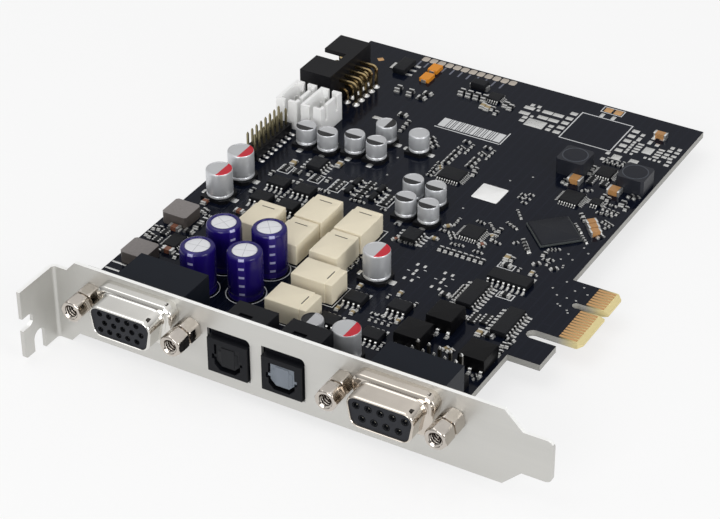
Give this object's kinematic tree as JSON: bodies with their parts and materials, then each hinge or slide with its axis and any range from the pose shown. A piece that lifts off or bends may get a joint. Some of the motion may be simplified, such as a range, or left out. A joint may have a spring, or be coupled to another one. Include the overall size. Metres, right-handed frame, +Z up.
{
  "type": "internal sound card",
  "caption": "Plug-in sound card for a single-lane expansion slot: black circuit board on a folded steel bracket with D-shaped sockets and sprung optical jacks.",
  "frame": {"origin": "under the middle of the whole card's bounding box, at its lowest point, the lower edge of the bracket's fixing end", "axes": "+X along the bracket from its fixing tab to its tongue, +Y along the board away from the bracket, +Z up out of the component face"},
  "size_m": [0.1202, 0.1508, 0.0209],
  "materials": {
    "solder_mask": "glossy near-black solder mask with grey laminate edges",
    "gold": "bright gold plating",
    "bracket_steel": "satin plated steel sheet",
    "nickel": "bright nickel plate",
    "jack_nickel": "bright nickel plate, turned",
    "insert_plastic": "matt dark grey moulding",
    "black_plastic": "satin black moulding",
    "optical_plastic": "matt black moulding",
    "shutter_black": "matt black moulding",
    "shutter_grey": "matt blue-grey moulding",
    "relay_cream": "satin cream moulding",
    "sleeve_blue": "glossy dark blue shrink sleeve with a bare metal top",
    "can_metal": "bright drawn can",
    "header_black": "satin black moulding",
    "plug_white": "satin white moulding",
    "tin": "tinned wire",
    "choke_grey": "matt grey ferrite",
    "inductor_black": "matt black ferrite",
    "chip_black": "matt black moulding",
    "tantalum_orange": "satin orange moulding",
    "ceramic_tan": "fired ceramic with tinned ends"
  },
  "bodies": {
    "card": {"ceramic_capacitors": "ceramic_tan", "circuit_board": "solder_mask", "diodes": "chip_black", "edge_contacts": "gold", "filter_capacitor_bases": "black_plastic", "filter_capacitor_cans": "can_metal", "gate_array": "chip_black", "input_chokes": "choke_grey", "jackscrews": "jack_nickel", "left_optical_housing": "optical_plastic", "mounting_bracket": "bracket_steel", "narrow_chips": "chip_black", "plug_header_1": "plug_white", "plug_header_2": "plug_white", "plug_posts": "tin", "polymer_capacitor_bases": "black_plastic", "polymer_capacitor_cans": "can_metal", "post_bar": "header_black", "post_pins": "gold", "power_inductors": "inductor_black", "pulse_transformer_1": "inductor_black", "pulse_transformer_2": "inductor_black", "pulse_transformer_3": "inductor_black", "rear_header_bar": "header_black", "rear_header_pins": "tin", "regulator": "chip_black", "regulator_leads": "tin", "relay_1": "relay_cream", "relay_2": "relay_cream", "relay_3": "relay_cream", "relay_4": "relay_cream", "relay_5": "relay_cream", "relay_6": "relay_cream", "relay_7": "relay_cream", "ribbon_pins": "tin", "ribbon_shroud": "header_black", "right_optical_housing": "optical_plastic", "serial_housing": "black_plastic", "serial_insert": "insert_plastic", "serial_tails": "tin", "sleeved_capacitor_1": "sleeve_blue", "sleeved_capacitor_2": "sleeve_blue", "sleeved_capacitor_3": "sleeve_blue", "sleeved_capacitor_4": "sleeve_blue", "socket_shells": "nickel", "square_chips": "chip_black", "tantalum_capacitors": "tantalum_orange", "vga_housing": "black_plastic", "vga_insert": "insert_plastic", "vga_tails": "tin"},
    "left_shutter": {"left_optical_shutter": "shutter_black"},
    "right_shutter": {"right_optical_shutter": "shutter_grey"}
  },
  "joints": [
    {"name": "left_shutter_hinge", "type": "hinge", "parent": "card", "child": "left_shutter", "pos_m": [-0.0147, -0.0625, 0.01344], "axis": [1, 0, 0], "range_deg": [0, 90], "stiffness_Nm_per_rad": 0.00001, "springref_deg": -20.05},
    {"name": "right_shutter_hinge", "type": "hinge", "parent": "card", "child": "right_shutter", "pos_m": [-0.00145, -0.0625, 0.01344], "axis": [1, 0, 0], "range_deg": [0, 90], "stiffness_Nm_per_rad": 0.00001, "springref_deg": -20.05}
  ]
}
